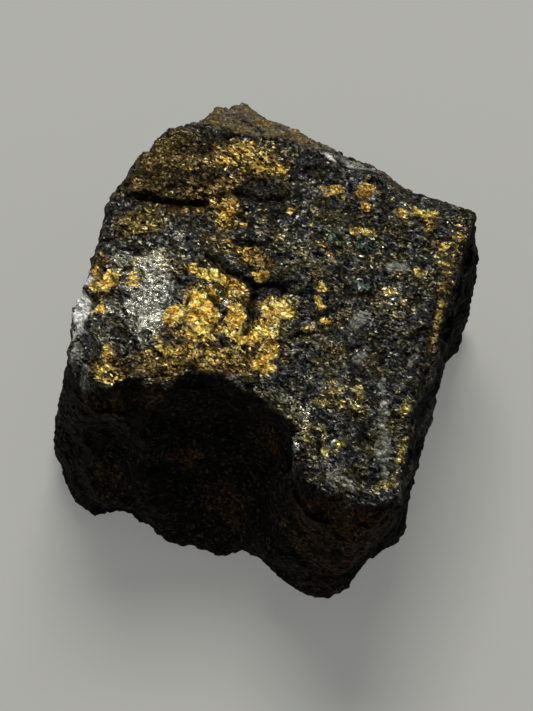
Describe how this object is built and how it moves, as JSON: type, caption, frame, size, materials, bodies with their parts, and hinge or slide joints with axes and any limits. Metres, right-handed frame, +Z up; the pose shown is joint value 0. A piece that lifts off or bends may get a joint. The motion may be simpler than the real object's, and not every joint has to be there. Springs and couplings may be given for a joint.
{
  "type": "stannite specimen",
  "caption": "Hand-broken lump of massive stannite ore with a scooped front break, lying on its flattest break.",
  "frame": {"origin": "middle of the underside, on the surface the stone lies on", "axes": "+Z up, out of the flat metallic crown; +X along the long front break; +Y away from the front break"},
  "size_m": [0.0272, 0.0254, 0.0174],
  "materials": {
    "sulphide_ore": "metallic, fine-grained broken sulphide: brass yellow and steel grey, with rust and a little quartz"
  },
  "bodies": {
    "root": {"stone": "sulphide_ore"}
  },
  "joints": []
}
